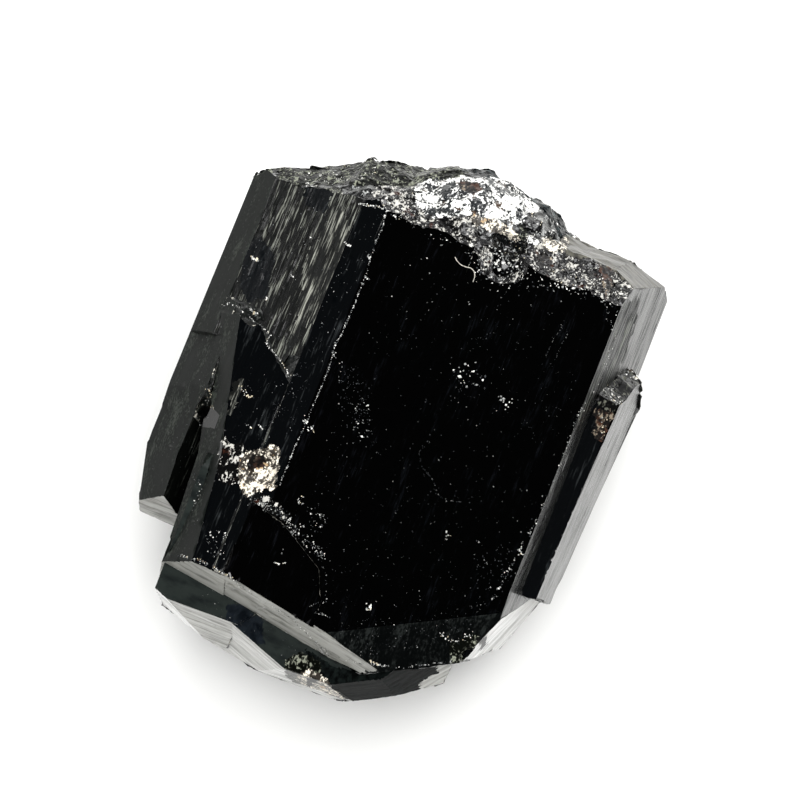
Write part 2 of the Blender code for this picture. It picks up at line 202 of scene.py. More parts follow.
BREAKS = ("broken",)
ENDS = END_KINDS + ("broken",)
ROUND_THE_CHIP = ("broken", "bevel", "slope", "smooth", "front")
PATCHES = [
    ("stained split", BREAKS, [(455, 184), (463, 181), (478, 183), (481, 190), (472, 195), (462, 190)]),
    ("dark rim", BREAKS, [
        (462, 158), (480, 155), (516, 162), (545, 185), (570, 212), (575, 236), (558, 236), (547, 214),
        (529, 198), (508, 183), (494, 179), (480, 175), (462, 172)]),
    ("cream chip", BREAKS, [
        (472, 216), (485, 217), (496, 221), (506, 227), (516, 233), (522, 240), (512, 243), (505, 238),
        (495, 234), (487, 229), (476, 225)]),
    ("cream chip", BREAKS, [(543, 239), (551, 238), (558, 244), (557, 252), (550, 251), (544, 246)]),
    ("cream chip", BREAKS, [(560, 237), (567, 235), (569, 244), (563, 253), (559, 248)]),
    ("silvery split", BREAKS, [
        (416, 186), (424, 181), (440, 178), (480, 178), (512, 177), (528, 190), (540, 205), (532, 215),
        (520, 223), (508, 228), (495, 222), (480, 216), (460, 214), (445, 218), (425, 216), (416, 205)]),
    ("fresh split", BREAKS, [
        (478, 228), (490, 230), (505, 238), (515, 244), (525, 240), (534, 246), (516, 256), (505, 264),
        (490, 250), (480, 240)]),
    ("stained split", BREAKS, [(535, 253), (549, 255), (553, 269), (540, 267)]),
    ("stained split", BREAKS, [(599, 264), (610, 267), (613, 285), (606, 298), (601, 280)]),
    ("granular", BREAKS, [
        (265, 182), (290, 164), (330, 160), (380, 154), (420, 156), (462, 160), (462, 179), (440, 178),
        (424, 181), (416, 187), (395, 187), (372, 187), (345, 184), (330, 183), (305, 186), (285, 186)]),
    ("fresh split", BREAKS, [(335, 183), (370, 184), (373, 192), (368, 197), (352, 198), (343, 192)]),
    ("dull split", ENDS, [
        (562, 250), (570, 238), (592, 236), (612, 240), (640, 256), (672, 286), (676, 304), (655, 302),
        (640, 291), (622, 276), (602, 263), (582, 259), (568, 258)]),
    ("fresh split", BREAKS, [
        (530, 205), (548, 208), (558, 214), (568, 230), (562, 242), (545, 242), (535, 238), (528, 230),
        (520, 223), (530, 215)]),
    ("crushed", BREAKS, [
        (352, 198), (368, 187), (416, 187), (416, 205), (425, 216), (445, 218), (460, 214), (480, 216),
        (478, 228), (480, 240), (505, 264), (534, 246), (560, 238), (570, 250), (567, 258), (602, 263),
        (640, 290), (674, 306), (660, 325), (630, 312), (600, 300), (565, 288), (520, 284), (495, 283),
        (470, 264), (465, 247), (430, 234), (400, 224), (385, 212), (368, 204)]),
    ("stained hollow", ROUND_THE_CHIP, [
        (247, 461), (252, 454), (258, 457), (266, 453), (268, 458), (263, 463), (264, 470), (257, 468),
        (252, 473), (249, 467)]),
    ("cream chip", ROUND_THE_CHIP, [
        (241, 455), (247, 451), (252, 453), (262, 450), (270, 444), (277, 447), (281, 454), (280, 466),
        (276, 478), (272, 486), (278, 488), (272, 493), (264, 488), (262, 493), (255, 492), (248, 499),
        (242, 494), (239, 480), (237, 466)]),
    ("crushed", ROUND_THE_CHIP, [
        (219, 438), (226, 434), (231, 444), (241, 441), (244, 451), (240, 460), (237, 470), (240, 482),
        (230, 484), (222, 482), (216, 474), (218, 458)]),
    ("crushed", ROUND_THE_CHIP, [
        (243, 494), (255, 492), (270, 500), (285, 512), (292, 524), (280, 519), (262, 508), (248, 501)]),
    ("dark pit", ("broken", "smooth", "side"), [
        (197, 413), (206, 403), (213, 405), (218, 412), (211, 430), (200, 427)]),
    ("dull dark", BREAKS, [(198, 376), (226, 376), (222, 404), (204, 404)]),
    ("smooth face", BREAKS, [
        (218, 448), (224, 470), (190, 540), (165, 585), (150, 575), (176, 525), (203, 456)]),
    ("smooth face", BREAKS, [(184, 318), (228, 318), (230, 344), (184, 344)]),
    ("dull dark", BREAKS, [
        (234, 298), (268, 298), (270, 330), (302, 352), (302, 382), (284, 384), (258, 348), (234, 330)]),
    ("dark pit", ("broken", "front", "rim", "pale end"), [(477, 638), (486, 637), (488, 648), (482, 655)]),
    ("granular", ("broken", "rim"), [
        (452, 647), (465, 637), (478, 634), (484, 650), (478, 662), (462, 668), (450, 666)]),
    ("pale streaks", ("slope",), [
        (322, 232), (340, 206), (350, 226), (346, 262), (334, 300), (316, 322), (302, 330), (292, 352),
        (284, 366), (279, 372), (288, 338), (300, 300), (304, 268), (312, 240)]),
    ("pale streaks", ("slope", "bevel"), [(236, 378), (243, 376), (240, 394), (231, 414), (226, 416)]),
    ("dark smooth patch", ("slope",), [(304, 182), (331, 182), (334, 196), (322, 212), (306, 206)]),
    ("dark smooth patch", ("slope",), [
        (243, 242), (262, 236), (275, 262), (268, 298), (248, 303), (240, 280)]),
    ("dark pit", ENDS, [(307, 678), (313, 676), (316, 683), (309, 686)]),
    ("cream chip", ENDS, [
        (296, 677), (306, 667), (320, 676), (334, 690), (345, 699), (330, 702), (312, 697)]),
    ("granular", ENDS, [(284, 662), (300, 654), (322, 662), (318, 673), (300, 686), (286, 678)]),
    ("frosted end", ("dark end",), [
        (437, 660), (470, 660), (470, 690), (440, 690), (421, 700), (421, 681), (427, 678), (438, 672)]),
    ("dark ledge end", ENDS, [
        (305, 650), (335, 666), (360, 671), (400, 669), (436, 667), (438, 672), (426, 680), (421, 692),
        (395, 696), (370, 700), (355, 703), (338, 697), (320, 684)]),
    ("navy split", ("ledge",), [(226, 604), (240, 604), (262, 620), (264, 646), (240, 640), (226, 620)]),
    ("streaked side", ("right", "side"), [
        (600, 300), (640, 300), (634, 330), (620, 372), (606, 392), (592, 402), (570, 440), (560, 440),
        (590, 350)]),
    ("dark granular", ("broken", "bevel"), [
        (599, 385), (615, 378), (631, 372), (647, 379), (652, 398), (637, 408), (617, 414), (605, 409),
        (591, 396)]),
    ("stained split", ("broken", "bevel"), [(594, 408), (617, 413), (616, 428), (603, 446), (593, 438)]),
]
FINISH_OF_KIND = {
    "front": "front face",
    "rim": "rim face",
    "bevel": "bevel face",
    "slope": "grooved face",
    "smooth": "smooth face",
    "side": "side face",
    "right": "right face",
    "base": "side face",
    "pale end": "frosted end",
    "dull end": "dull split",
    "dark end": "dark ledge end",
    "end": "clean end",
    "ledge": "ledge",
}

# The corners of the pixels round the large chip, where the mesh is finer
CHIP_ZONE = ((210, 428), (298, 530))

# The crushed end begins here, in millimetres along the axis
CRUSHED_FROM = 12.0

# A patch reaches this far down a steep pale end face. There its edge strays by so much, in waves of
# such a length, and its other edges stray in waves of some lengths by so many pixels.
PATCH_DEPTH = 7.0
DEPTH_STRAY = 1.8
DEPTH_WAVE = 0.9
RAGGED_EDGES = ((0.45, 2.2), (1.6, 3.0))

# A face that shows this much of itself, or less, is seen edge-on and has no patch
EDGE_ON = 0.02

# Broken surfaces outside the patches change their finish in lumps, wide ones with narrow ones on
# them that count for a share. Each finish is there up to some value of the lumps.
NARROW_SHARE = 0.5
HIDDEN_LUMPS = (3.4, 1.1)
HIDDEN_FINISHES = ((0.1, "hidden break"), (0.3, "dull dark"), (math.inf, "fresh split"))
CRUSHED_LUMPS = (2.4, 0.9)
CRUSHED_FINISHES = (
    (-0.22, "fresh split"), (0.12, "granular"), (0.34, "crushed"), (math.inf, "silvery split"))

# The greatest distance by which a point is drawn onto its flat face
LARGEST_SHIFT = 0.22


# The mesh

TINY = 0.002
SAME_FACE_ANGLE = math.cos(math.radians(15.0))
SAME_FACE_GAP = 0.32
DEGREES_WORTH_A_MILLIMETRE = 30.0
LOW = Vector([c / MM for c in CAD_BOX[0]])
HIGH = Vector([c / MM for c in CAD_BOX[1]])

# Where the cuts begin and end, across the crystal, along it and up it
ACROSS = (-22.0, 22.0)
ALONG = (-27.0, 27.0)
UPWARD = (-0.5, 28.0)
ANY_WAY = (-27.0, 28.0)

# The least and the greatest gap between cuts, in millimetres
CLEAN_END_GAPS = (0.2, 0.36)
HIDDEN_END_GAPS = (0.35, 0.6)
GROOVED_GAPS = (0.11, 0.38)
FRONT_GAPS = (0.5, 1.2)
SMOOTH_GAPS = (0.3, 0.7)
STEEP_GAPS = (0.14, 0.46)
LONG_GAPS = (0.9, 1.4)
GROOVED_LONG_GAPS = (0.3, 0.6)
LONGEST_BROKEN_EDGE = 0.3
BROKEN_ROUNDS = 4
LONGEST_CHIP_EDGE = 0.25
CHIP_ROUNDS = 3
WELD = 0.01

# End faces whose upward share is less than this are cut from top to bottom, others along the crystal.
# Long faces whose upward share is more than the second have their grooves side by side along X.
LEVEL = 0.7
MOSTLY_UP = 0.5


def within_box(place):
    """The place, or the nearest one that the solid crystal's box holds."""
    return Vector([min(HIGH[i], max(LOW[i], place[i])) for i in range(3)])


def nearest_plane(normal, centre):
    """The number of the flat face that a bit of surface belongs to, or BROKEN."""
    best = BROKEN
    best_score = 1.0
    for number, plane in enumerate(NORMALS):
        turn = normal.dot(plane)
        if turn < SAME_FACE_ANGLE:
            continue
        gap = abs(plane.dot(centre) - DISTANCES[number])
        if gap > SAME_FACE_GAP:
            continue
        score = math.degrees(math.acos(min(1.0, turn))) / DEGREES_WORTH_A_MILLIMETRE + gap
        if score < best_score:
            best = number
            best_score = score
    return best


def lowest(face, axis):
    return min(v.co[axis] for v in face.verts)


def highest(face, axis):
    return max(v.co[axis] for v in face.verts)


def slice_faces(bm, faces, axis, places):
    """Cuts faces at places along an axis, going up, and looks only at what each cut can cross."""
    waiting = sorted(faces, key=lambda f: -lowest(f, axis))
    active = []
    normal = Vector([float(axis == i) for i in range(3)])
    for place in places:
        while waiting and lowest(waiting[-1], axis) < place:
            active.append(waiting.pop())
        crossed = []
        later = []
        for face in active:
            top = highest(face, axis)
            if top < place + TINY:
                continue
            if lowest(face, axis) < place - TINY:
                crossed.append(face)
            else:
                later.append(face)
        if crossed:
            edges = list(dict.fromkeys(e for f in crossed for e in f.edges))
            points = list(dict.fromkeys(v for f in crossed for v in f.verts))
            cut = bmesh.ops.bisect_plane(
                bm, geom=points + edges + crossed, dist=TINY, plane_co=normal * place, plane_no=normal
            )
            pieces = [g for g in cut["geom"] if isinstance(g, bmesh.types.BMFace)]
            later += [f for f in pieces if highest(f, axis) > place + TINY]
        active = later


def near_chip(face):
    """Whether a face lies round the large chip."""
    x, y = to_pixel(face.calc_center_median())
    (left, top), (right, bottom) = CHIP_ZONE
    return left < x < right and top < y < bottom


def split_long_edges(bm, wanted, longest, rounds):
    """Halves the long edges of the wanted faces, a few times over."""
    for _ in range(rounds):
        faces = [f for f in bm.faces if wanted(f)]
        edges = list(dict.fromkeys(e for f in faces for e in f.edges if e.calc_length() > longest))
        bmesh.ops.subdivide_edges(bm, edges=edges, cuts=1, use_single_edge=True)
        bmesh.ops.triangulate(bm, faces=[f for f in bm.faces if len(f.verts) > 3 and wanted(f)])


def uneven_places(reach, gaps, draw):
    """Places from one end of a reach to the other, most of whose gaps are nearly the least one."""
    place, end = reach
    least, greatest = gaps
    places = []
    while place < end:
        place += least * (greatest / least) ** draw.random()
        places.append(place)
    return places


def to_pixel(place):
    """Where a place shows in the 800 pixel frame."""
    away = place - EYE
    depth = -away.dot(BACK)
    across = away.dot(RIGHT) * FOCAL_PIXELS / depth
    along = away.dot(UP) * FOCAL_PIXELS / depth
    return FRAME_PIXELS / 2 + across, FRAME_PIXELS / 2 - along


def inside(spot, outline):
    """Whether a pixel lies inside an outline of pixels."""
    x, y = spot
    within = False
    for (x0, y0), (x1, y1) in zip(outline, outline[1:] + outline[:1]):
        if (y0 > y) != (y1 > y) and x < x0 + (x1 - x0) * (y - y0) / (y1 - y0):
            within = not within
    return within


def patch_at(normal, place, kind, top):
    """The number of the patch that a bit of surface lies in, or -1. Patch edges are ragged."""
    if normal.dot(BACK) < EDGE_ON:
        return -1
    if kind == "pale end" and place.z < top - PATCH_DEPTH + DEPTH_STRAY * noise.noise(place / DEPTH_WAVE):
        return -1
    stray = Vector()
    for length, reach in RAGGED_EDGES:
        stray += noise.noise_vector(place / length) * reach
    x, y = to_pixel(place)
    spot = (x + stray.x, y + stray.y)
    for number, (_, over, outline) in enumerate(PATCHES):
        if kind in over and inside(spot, outline):
            return number
    return -1


def lump_finish(place, lumps, finishes):
    """The finish of a broken surface, which changes in lumps that have smaller lumps on them."""
    wide, narrow = lumps
    mix = noise.noise(place / wide) + NARROW_SHARE * noise.noise(place / narrow)
    return next(name for most, name in finishes if mix < most)


def surface_name(kind, patch, place):
    """The name of the finish of a bit of surface."""
    if patch >= 0:
        return PATCHES[patch][0]
    if kind == "split end":
        return lump_finish(place, HIDDEN_LUMPS, HIDDEN_FINISHES)
    if kind != "broken":
        return FINISH_OF_KIND[kind]
    if place.y < CRUSHED_FROM:
        return "chipped edge"
    return lump_finish(place, CRUSHED_LUMPS, CRUSHED_FINISHES)


# The relief, in millimetres. A groove's height changes along this length, and it fades in and out
# over a shorter one. Grooves are stronger in bands of some width and length.
GROOVE_RUN = 6.0
FADE_RUN = 2.0
FADE_SHARE = 0.8
BAND_WIDTH = 1.3
BAND_RUN = 5.0
BAND_MEAN = 0.8
BAND_CONTRAST = 1.9

# Steps in the noise that keep neighbouring lines and faces unlike each other
LINE_STEP = 41.0
FACE_STEP = 17.0
BAND_STEP = 3.0
COURSE_ROW = 3.1
FADE_ROW = 9.7

# Clean ends: wave length and height, step lengths along X, Y and Z and height, then fine grain
END_WAVE = (2.2, 0.05)
END_STEP = ((4.0, 1.2, 0.35), 0.03)
END_GRAIN = (0.3, 0.01)

# Breaks: how splinters bend, how their levels and slopes count, then fine grain. Cell noise lies
# round its middle.
CELL_MIDDLE = 0.5
SPLINTER_BEND = (0.8, 0.35)
LEVEL_SHARE = 0.7
SLOPE_SHARE = 1.2
TILT_STEP = 7.3
LEVEL_STEP = 3.7
BREAK_GRAIN = (0.2, 0.025)

# A clean split: wave, then folds with their lengths, direction and height, then fine grain
SPLIT_WAVE = (1.7, 0.16)
FOLD_LENGTHS = (1.1, 2.4, 0.8)
FOLD_WAY = Vector((0.3, 1.0, 0.6))
FOLD_HEIGHT = 0.2
SPLIT_GRAIN = (0.35, 0.035)


def across_axis(number):
    """The axis across a long face's grooves: X where the face looks mostly up or down, else Z."""
    return 0 if abs(NORMALS[number].z) > MOSTLY_UP else 2


def groove(place, number):
    """How far a groove line lies off the plane. Each line along the crystal has its own course."""
    across = place[across_axis(number)]
    line = across * LINE_STEP + number * FACE_STEP
    course = noise.noise(Vector((line, place.y / GROOVE_RUN, COURSE_ROW)))
    fade = noise.noise(Vector((line, place.y / FADE_RUN, FADE_ROW)))
    band = noise.noise(Vector((across / BAND_WIDTH, place.y / BAND_RUN, number * BAND_STEP)))
    share = max(0.0, BAND_MEAN + BAND_CONTRAST * band)
    return (course + FADE_SHARE * fade) * GROOVE_HEIGHT[kind_of(number)] * share


def scaled(place, lengths):
    """The place in steps of some lengths along X, Y and Z."""
    return Vector([place[i] / lengths[i] for i in range(3)])


def end_relief(place):
    """The faint waves and steps of a clean end face."""
    wave = noise.noise(place / END_WAVE[0]) * END_WAVE[1]
    step = noise.noise(scaled(place, END_STEP[0])) * END_STEP[1]
    return wave + step + noise.noise(place / END_GRAIN[0]) * END_GRAIN[1]


def shards(place, levels):
    """Little flat-sided splinters, as crushed crystal has."""
    move = Vector()
    bent = place + noise.noise_vector(place / SPLINTER_BEND[0]) * SPLINTER_BEND[1]
    for size, height in levels:
        nearest = noise.voronoi(bent / size)[1][0]
        tilt = noise.cell_vector(nearest * TILT_STEP) - Vector((CELL_MIDDLE, CELL_MIDDLE, CELL_MIDDLE))
        level = noise.cell(nearest * LEVEL_STEP) - CELL_MIDDLE
        across = (bent / size - nearest).dot(tilt)
        move += tilt.normalized() * (level * LEVEL_SHARE + across * SLOPE_SHARE) * height
    return move + noise.noise_vector(place / BREAK_GRAIN[0]) * BREAK_GRAIN[1]


def sheet(place):
    """The gently wavy, stepped surface of a clean split."""
    fold = abs(noise.noise(scaled(place, FOLD_LENGTHS)))
    wave = noise.noise_vector(place / SPLIT_WAVE[0]) * SPLIT_WAVE[1]
    return wave + FOLD_WAY * fold * FOLD_HEIGHT + noise.noise_vector(place / SPLIT_GRAIN[0]) * SPLIT_GRAIN[1]


# The relief of each broken surface: the lengths and heights of its waves, whether it has the folds
# of a clean split, and the widths and heights of its splinters
RELIEF = {
    "crushed": ((), False, ((1.5, 0.17), (0.6, 0.10), (0.3, 0.05))),
    "chipped edge": ((), False, ((0.7, 0.08), (0.3, 0.05))),
    "cream chip": ((), False, ((1.0, 0.14), (0.4, 0.08))),
    "dark granular": ((), False, ((1.1, 0.08), (0.4, 0.06))),
    "granular": ((), False, ((1.1, 0.08), (0.45, 0.07), (0.25, 0.04))),
    "fresh split": ((), True, ()),
    "silvery split": ((), True, ((1.3, 0.07),)),
    "smooth face": (((1.6, 0.04),), False, ()),
    "dull split": (((1.6, 0.06), (0.4, 0.015)), False, ()),
    "split end": (((6.0, 0.5),), True, ((2.4, 0.2), (0.8, 0.06))),
}


def break_relief(place, name):
    """How far a broken surface lies off the solid's. Finishes that RELIEF leaves out are chipped."""
    waves, folded, splinters = RELIEF.get(name, RELIEF["chipped edge"])
    move = Vector()
    for length, height in waves:
        move += noise.noise_vector(place / length) * height
    if folded:
        move += sheet(place)
    if splinters:
        move += shards(place, splinters)
    return move


def make_surface():
    """A fine copy of the crystal: flat faces with grooves along the axis, and crushed breaks."""
    draw = random.Random(SEED)
    noise.seed_set(SEED)
    bm = bmesh.new()
    bm.from_mesh(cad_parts["crystal"].data)
    bmesh.ops.scale(bm, vec=(1 / MM, 1 / MM, 1 / MM), verts=bm.verts)
    bm.normal_update()
    which = bm.faces.layers.int.new("which")
    patch = bm.faces.layers.int.new("patch")
    for face in bm.faces:
        face[which] = nearest_plane(face.normal, face.calc_center_median())

    def some(*kinds):
        return [f for f in bm.faces if kind_of(f[which]) in kinds]

    for kinds, gaps in ((CLEAN_END_KINDS, CLEAN_END_GAPS), (HIDDEN_END_KINDS, HIDDEN_END_GAPS)):
        cells = uneven_places(ANY_WAY, gaps, draw)
        slice_faces(bm, some(*kinds), 0, cells)
        slice_faces(bm, [f for f in some(*kinds) if abs(f.normal.z) < LEVEL], 2, cells)
        slice_faces(bm, [f for f in some(*kinds) if abs(f.normal.z) >= LEVEL], 1, cells)
    slice_faces(bm, some("slope", "bevel"), 0, uneven_places(ACROSS, GROOVED_GAPS, draw))
    slice_faces(bm, some("front", "rim"), 0, uneven_places(ACROSS, FRONT_GAPS, draw))
    slice_faces(bm, some("smooth"), 0, uneven_places(ACROSS, SMOOTH_GAPS, draw))
    slice_faces(bm, some("side", "right"), 2, uneven_places(UPWARD, STEEP_GAPS, draw))
    slice_faces(bm, some(*LONG_KINDS), 1, uneven_places(ALONG, LONG_GAPS, draw))
    slice_faces(bm, some("slope", "bevel"), 1, uneven_places(ALONG, GROOVED_LONG_GAPS, draw))
    split_long_edges(bm, lambda f: kind_of(f[which]) == "broken", LONGEST_BROKEN_EDGE, BROKEN_ROUNDS)
    split_long_edges(
        bm, lambda f: kind_of(f[which]) in ("bevel", "slope") and near_chip(f), LONGEST_CHIP_EDGE, CHIP_ROUNDS)
    bmesh.ops.remove_doubles(bm, verts=bm.verts, dist=WELD)
    bmesh.ops.triangulate(bm, faces=bm.faces)
    loose = [v for v in bm.verts if not v.link_faces]
    bmesh.ops.delete(bm, geom=loose, context="VERTS")
    bm.normal_update()
    tops = {}
    for face in bm.faces:
        tops[face[which]] = max(tops.get(face[which], 0.0), highest(face, 2))
    for face in bm.faces:
        number = face[which]
        face[patch] = patch_at(face.normal, face.calc_center_median(), kind_of(number), tops[number])
    place_points(bm, which, patch)
    mark_edges(bm, which)
    return bm, which, patch


# How many times a point is laid on each of its planes in turn
PLANE_ROUNDS = 3

# The resting face stays flat, and the relief grows from nothing above it
RESTING = 0.02
NO_RELIEF_BELOW = 0.3
RELIEF_GROWS_OVER = 2.0


def place_points(bm, which, patch):
    """Lays the points of flat faces on their planes, then adds grooves, waves and splinters."""
    moved = {}
    for v in bm.verts:
        numbers = sorted({f[which] for f in v.link_faces})
        kinds = [kind_of(n) for n in numbers]
        flats = [n for n, kind in zip(numbers, kinds) if kind not in BREAK_KINDS]
        place = v.co.copy()
        for _ in range(PLANE_ROUNDS):
            for number in flats:
                normal = NORMALS[number]
                place -= normal * (normal.dot(place) - DISTANCES[number])
        if (place - v.co).length > LARGEST_SHIFT:
            place = v.co.copy()
        longs = [n for n in flats if kind_of(n) in LONG_KINDS]
        if kinds[0] == "base" or place.z < RESTING:
            place.z = max(0.0, place.z)
        elif len(longs) == 1:
            place += NORMALS[longs[0]] * groove(place, longs[0])
        elif not longs and len(flats) == 1 and len(numbers) == 1:
            place += NORMALS[flats[0]] * end_relief(place)
        elif not flats:
            share = min(1.0, max(0.0, (place.z - NO_RELIEF_BELOW) / RELIEF_GROWS_OVER))
            first = min(f[patch] for f in v.link_faces)
            name = "split end" if "split end" in kinds else surface_name("broken", first, place)
            place += break_relief(place, name) * share
        moved[v] = within_box(place)
    for v, place in moved.items():
        v.co = place
    bm.normal_update()


# Between two flat faces an edge shades smooth below this angle. Within a grooved face it stays crisp
# where it runs along the crystal: no step across, and some reach along the axis.
SMOOTH_BELOW = math.radians(4.0)
NO_STEP = 0.02
SOME_REACH = 0.1


def mark_edges(bm, which):
    """Keeps groove lines and corners crisp and shades the rest smooth."""
    for face in bm.faces:
        face.smooth = kind_of(face[which]) not in BREAK_KINDS
    for edge in bm.edges:
        if len(edge.link_faces) != 2:
            continue
        first, second = edge.link_faces
        if first[which] != second[which]:
            edge.smooth = edge.calc_face_angle(0.0) < SMOOTH_BELOW
            continue
        if kind_of(first[which]) in ("slope", "side", "bevel", "right"):
            axis = across_axis(first[which])
            step = abs(edge.verts[0].co[axis] - edge.verts[1].co[axis])
            reach = abs(edge.verts[0].co.y - edge.verts[1].co.y)
            edge.smooth = not (step < NO_STEP and reach > SOME_REACH)


# Materials

# How much tourmaline bends light, and the quartz and feldspar of the grains
TOURMALINE_IOR = 1.64
GRAIN_IOR = 1.55

# Every noise is equally crisp. Its values lie round the middle, within about half of a reach.
NOISE_CRISPNESS = 0.62
NOISE_MIDDLE = 0.5
WIDE_REACH = 0.36
NARROW_REACH = 0.3

# The mix node's two colours and its colour output
MIX_COLOURS = (6, 7)
MIX_RESULT = 2


def new_material(name):
    """A material with its Principled shader, and a function that adds a node to it."""
    material = bpy.data.materials.new(name)
    material.use_nodes = True
    tree = material.node_tree
    shader = tree.nodes["Principled BSDF"]

    def add(kind, settings, links):
        node = tree.nodes.new(kind)
        for key, value in settings.items():
            if isinstance(key, int) or key in node.inputs:
                node.inputs[key].default_value = value
            else:
                setattr(node, key, value)
        for key, source in links.items():
            tree.links.new(source, node.inputs[key])
        return node

    def finish(key, source):
        tree.links.new(source, shader.inputs[key])

    return material, shader, add, finish


def tourmaline(name, gloss):
    """A material of tourmaline. A gloss of 0.5 is the shine that its refractive index gives."""
    parts = new_material(name)
    parts[1].inputs["IOR"].default_value = TOURMALINE_IOR
    parts[1].inputs["Specular IOR Level"].default_value = gloss
    return parts


def pattern(add, lengths, detail=3.0, shift=0.0):
    """A noise whose lumps measure so many millimetres along X, Y and Z."""
    where = add("ShaderNodeTexCoord", {}, {})
    scale = tuple(1 / (length * MM) for length in lengths)
    sized = add("ShaderNodeMapping", {"Scale": scale, "Location": (shift, shift, shift)},
                {"Vector": where.outputs["Object"]})
    lumps = add("ShaderNodeTexNoise", {"Scale": 1.0, "Detail": detail, "Roughness": NOISE_CRISPNESS},
                {"Vector": sized.outputs["Vector"]})
    return lumps.outputs["Fac"]


def plus_share(add, first, second, weight):
    """One pattern plus a share of another, kept near the middle."""
    offset = add("ShaderNodeMath", {"operation": "SUBTRACT", 1: NOISE_MIDDLE}, {0: second})
    links = {0: offset.outputs[0], 2: first}
    return add("ShaderNodeMath", {"operation": "MULTIPLY_ADD", 1: weight}, links).outputs[0]


def level_for(share, reach):
    """The value that a pattern is above on a share of the surface."""
    return NOISE_MIDDLE + (0.5 - share) * reach


def blended(add, source, low, high, first, second):
    """From the first colour, where the pattern is low, to the second, where it is high."""
    share = add("ShaderNodeMapRange", {"From Min": low, "From Max": high}, {"Value": source})
    settings = {"data_type": "RGBA"}
    links = {0: share.outputs["Result"]}
    for socket, colour in zip(MIX_COLOURS, (first, second)):
        if isinstance(colour, str):
            settings[socket] = linear(colour)
        else:
            links[socket] = colour
    return add("ShaderNodeMix", settings, links).outputs[MIX_RESULT]


def let_change(parts, key, source, span, low, high):
    """Lets a socket change with a pattern. The socket's own number is set to the mean value.
    The export drops the link and takes the mean value.
    """
    _, shader, add, finish = parts
    shader.inputs[key].default_value = (low + high) / 2
    limits = {"From Min": span[0], "From Max": span[1], "To Min": low, "To Max": high}
    finish(key, add("ShaderNodeMapRange", limits, {"Value": source}).outputs["Result"])


# Black tourmaline as it grew. Growth lines on such faces are 0.02 to 0.2 mm apart, and a pixel of the
# photograph is about 0.09 mm, so they are drawn 0.12 to 0.3 mm wide, as coarse as they need to show.
GLOSS_SPAN = (0.42, 0.6)
GROWTH_BANDS = (1.1, 4.5, 1.1)
DUST_EDGE = 0.16
ROUGHNESS_SWING = (0.6, 1.4)


def grown_face(name, dark, pale, share, roughness, line, length, depth, dull, gloss, clouds):
    """A long face: black glass with fine grooves along the axis, some of them filled with pale dust."""
    parts = tourmaline(name, gloss)
    material, shader, add, finish = parts
    lines = pattern(add, (line, length, line), detail=4.0)
    if dull < gloss:
        let_change(parts, "Specular IOR Level", lines, GLOSS_SPAN, dull, gloss)
    bands = pattern(add, GROWTH_BANDS, shift=7.0)
    low = level_for(share, WIDE_REACH)
    dusty = plus_share(add, lines, bands, clouds)
    finish("Base Color", blended(add, dusty, low, low + DUST_EDGE, dark, pale))
    swing = {"To Min": roughness * ROUGHNESS_SWING[0], "To Max": roughness * ROUGHNESS_SWING[1]}
    rough = add("ShaderNodeMapRange", swing, {"Value": bands})
    finish("Roughness", rough.outputs["Result"])
    bump = add("ShaderNodeBump", {"Strength": 1.0, "Distance": depth * MM}, {"Height": lines})
    finish("Normal", bump.outputs["Normal"])
    return material


# Tourmaline that split or was crushed. Real crushed grains are 0.02 to 0.3 mm wide, and the finest are
# drawn 0.2 mm wide, as coarse as they need to show.
GRAIN_STRETCH = 1.5
LUMP_STRETCH = 1.3
LUMP_SHARE = 0.8
RUST_CLOUDS = (1.2, 1.2, 1.2)
RUST_EDGE = 0.04


def split_stone(name, dark, pale, share, roughness, lump, grain, edge, gloss, depth, stain=None, rusty=0.0):
    """A break: dark glass, whitish where it was crushed, with rusty stains in places."""
    material, shader, add, finish = tourmaline(name, gloss)
    shader.inputs["Roughness"].default_value = roughness
    small = pattern(add, (grain, grain * GRAIN_STRETCH, grain), detail=5.0)
    large = pattern(add, (lump, lump * LUMP_STRETCH, lump), detail=2.0, shift=5.0)
    low = level_for(share, WIDE_REACH)
    colour = blended(add, plus_share(add, small, large, LUMP_SHARE), low, low + edge, dark, pale)
    if stain:
        rust = pattern(add, RUST_CLOUDS, detail=4.0, shift=11.0)
        start = level_for(rusty, NARROW_REACH)
        colour = blended(add, rust, start, start + RUST_EDGE, colour, stain)
    finish("Base Color", colour)
    bump = add("ShaderNodeBump", {"Strength": 1.0, "Distance": depth * MM}, {"Height": small})
    finish("Normal", bump.outputs["Normal"])
    return material


# End faces that growth or water has etched. Real etching lines are under 0.1 mm wide, and are drawn
# 0.3 to 0.5 mm wide, as coarse as they need to show.
FROST_SPAN = (0.36, 0.62)
FROST_LEFT = 0.4
FROST_GLOSS = 0.2
FROST_ROUGHNESS = 0.3
ETCHED_CLOUDS = (1.6, 1.6, 0.9)
CLOUD_SHARE = 0.5
ETCHED_EDGE = (0.1, 0.14)
PLAIN_RUN = 2.0


